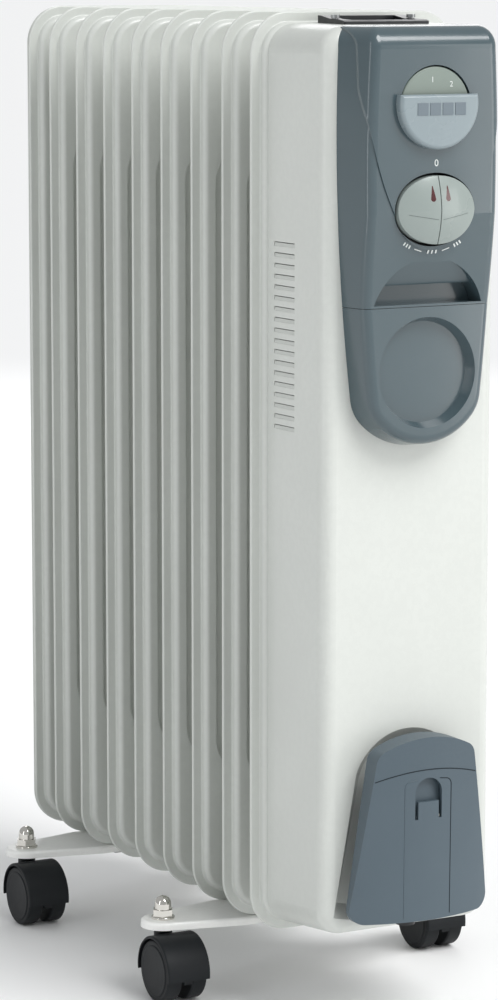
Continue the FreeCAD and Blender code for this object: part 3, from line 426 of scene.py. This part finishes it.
def print_numeral(name, text, node, x, z, height, body, material):
    """A printed numeral, as a thin mesh just proud of a node's front."""
    data = bpy.data.curves.new(name, "FONT")
    data.body = text
    data.align_x = "CENTER"
    data.align_y = "CENTER"
    data.size = height * FONT_SIZE * MM
    data.extrude = PRINT_THICKNESS / 2 * MM
    letter = bpy.data.objects.new(name + "_text", data)
    bpy.context.scene.collection.objects.link(letter)
    bpy.context.view_layer.update()
    mesh = bpy.data.meshes.new_from_object(letter)
    bpy.data.objects.remove(letter)
    place = on_face(node, x, z, NUMERAL_RISE)
    for vertex in mesh.vertices:
        u, v, depth = vertex.co
        vertex.co = (place[0] * MM + u, place[1] * MM - depth, place[2] * MM + v)
    mesh.flip_normals()
    piece = bpy.data.objects.new(name, mesh)
    bpy.context.scene.collection.objects.link(piece)
    mesh.materials.clear()
    settle(piece, body, material)


def arc_mark(degrees, size):
    """Corners of one mark on the arc below the rockers, square to the arc's radius."""
    angle = math.radians(degrees)
    return box_outline(DASH_HALF_WIDTH * math.cos(angle),
                       SWITCH_HEIGHT + DASH_HALF_HEIGHT * math.sin(angle), *size,
                       angle + math.pi / 2)


def make_marks(materials):
    """Generic printing: two numerals on the dial, a nought, and an arc of plain dashes."""
    white = materials["print"]
    for numeral in NUMERALS:
        print_numeral(*numeral, white)
    ticks = [arc_mark(degrees, TICK_SIZE) for degrees in TICK_DEGREES]
    ticks += [arc_mark(degrees, DASH_SIZE) for degrees in DASH_DEGREES]
    settle(stickers("switch_dashes", "upper_panel", ticks, PRINT_RISE), "heater",
           white)
    squares = [box_outline(x, SQUARE_HEIGHT, SQUARE_SIDE, SQUARE_SIDE) for x in SQUARE_PLACES]
    settle(stickers("hood_squares", "dial_hood", squares, SQUARE_RISE), "heater",
           materials["square"], 0.15)


def make_plate_lines(materials):
    """The cord plate's arched seam and the outline of its middle strip, as painted shade: dark
    lines stand for the shadow at the seam's step and on the strip's shaded right wall.
    """
    painted_shade = materials["groove"]
    seam = [(x, SEAM_TOP - SEAM_DROP * (abs(x) / SEAM_HALF) ** 2)
            for x in np.linspace(-SEAM_HALF, SEAM_HALF, 25)]
    settle(line_piece("plate_seam", "cord_plate", seam, SEAM_RADIUS), "heater",
           painted_shade)
    shoulder = STRIP_TOP - STRIP_CORNER
    bend = [(STRIP_HALF - STRIP_CORNER + STRIP_CORNER * math.cos(turn),
             shoulder + STRIP_CORNER * math.sin(turn))
            for turn in np.linspace(0, math.pi / 2, 7)]
    edge = [(STRIP_HALF, z) for z in np.linspace(STRIP_FOOT, shoulder - 1, 16)]
    edge += bend + [(8, STRIP_TOP + 0.6)]
    # Painted shade on the right edge only; the left edge keeps the plate's own colour.
    for name, side, finish in (("plate_strip_right", 1, painted_shade),
                               ("plate_strip_left", -1, materials["tidy"])):
        line = line_piece(name, "cord_plate", [(side * x, z) for x, z in edge], STRIP_RADIUS)
        settle(line, "heater", finish)


def make_clip_backing(materials):
    """The plate's own plastic a few millimetres behind the clip's arched opening."""
    arch = [(CLIP_HALF * math.cos(turn), CLIP_SPRING + CLIP_HALF * math.sin(turn))
            for turn in np.linspace(0, math.pi, 13)]
    outline = [(-CLIP_HALF, CLIP_LOW), (CLIP_HALF, CLIP_LOW)] + arch
    front = on_face("cord_plate", CLIP_HALF + 3, 150, -CLIP_DEPTH)[1]
    count = len(outline)
    vertices = [(x, y, z) for y in (front, front + 1) for x, z in outline]
    faces = [tuple(range(count)), tuple(range(2 * count - 1, count - 1, -1))]
    faces += [(step, count + step, count + (step + 1) % count, (step + 1) % count)
              for step in range(count)]
    settle(mesh_piece("clip_backing", vertices, faces), "heater",
           materials["tidy"], 0.2)


def make_rocker_creases(materials):
    """The shallow crease across each rocker, rising outwards, drawn as a darker line of painted
    shade.
    """
    for name, side in (("left", -1), ("right", 1)):
        points = [(side * x, CREASE_LOW + CREASE_RISE * (x - CREASE_INNER)
                   / (CREASE_OUTER - CREASE_INNER))
                  for x in np.linspace(CREASE_INNER, CREASE_OUTER, 14)]
        line = line_piece(name + "_crease", name + "_rocker", points, CREASE_RADIUS)
        settle(line, name + "_switch", materials["crease_shade"])


def make_louvres(materials):
    """Slanted blades in the cover's vents, each leaving a hairline above it."""
    vertices, faces = [], []
    for side in (-1, 1):
        for number in range(VENT_COUNT):
            low = VENT_LOW + number * VENT_PITCH + 0.02
            high = low + VENT_SLOT - VENT_HAIRLINE
            first = len(vertices)
            for y in (VENT_FRONT, VENT_BACK):
                skin = COVER_HALF_BACK + (y - COVER_BACK) * COVER_TAPER
                for z, inset in ((low, 0.1), (high, 0.75), (high, 1.35), (low, 0.7)):
                    vertices.append((side * (skin - inset), y, z))
            faces += [(first, first + 1, first + 2, first + 3),
                      (first + 7, first + 6, first + 5, first + 4)]
            faces += [(first + step, first + (step + 1) % 4, first + 4 + (step + 1) % 4,
                       first + 4 + step) for step in range(4)]
    settle(mesh_piece("vent_louvres", vertices, faces), "heater",
           materials["enamel"], 0.12)


def disc_rings(face, side, middle_y, middle_z):
    """Points of a wheel's disc, ring by ring, on the plane X = face."""
    points = []
    for radius, proud in WHEEL_PROFILE:
        for turn in range(WHEEL_TURNS):
            angle = 2 * math.pi * turn / WHEEL_TURNS
            points.append((face + side * proud, middle_y + radius * math.cos(angle),
                           middle_z + radius * math.sin(angle)))
    return points


def disc_faces(first):
    """Faces between the rings whose first point has this number, and over both ends."""
    faces = []
    for ring in range(len(WHEEL_PROFILE) - 1):
        here = first + ring * WHEEL_TURNS
        for turn in range(WHEEL_TURNS):
            after = (turn + 1) % WHEEL_TURNS
            faces.append((here + turn, here + after, here + WHEEL_TURNS + after,
                          here + WHEEL_TURNS + turn))
    last = first + (len(WHEEL_PROFILE) - 1) * WHEEL_TURNS
    faces.append(tuple(range(first, first + WHEEL_TURNS)))
    faces.append(tuple(range(last, last + WHEEL_TURNS)))
    return faces


def make_wheel_caps(materials):
    """A shallow dished disc on each outer face of a caster's two wheels."""
    for corner in ("front_left", "front_right", "rear_left", "rear_right"):
        low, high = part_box("caster_wheels_" + corner)
        middle_y = (low[1] + high[1]) / 2 / MM
        middle_z = (low[2] + high[2]) / 2 / MM
        vertices, faces = [], []
        for face, side in ((low[0] / MM, -1), (high[0] / MM, 1)):
            faces += disc_faces(len(vertices))
            vertices += disc_rings(face, side, middle_y, middle_z)
        piece = mesh_piece("wheel_discs_" + corner, vertices, faces)
        settle(piece, "wheels_" + corner, materials["caster"])


def build():
    make_camera()
    make_studio()
    make_floor()
    materials = make_materials()
    dress_cad_nodes(materials)
    bpy.context.view_layer.update()
    make_marks(materials)
    make_plate_lines(materials)
    make_clip_backing(materials)
    make_rocker_creases(materials)
    make_louvres(materials)
    make_wheel_caps(materials)


build()
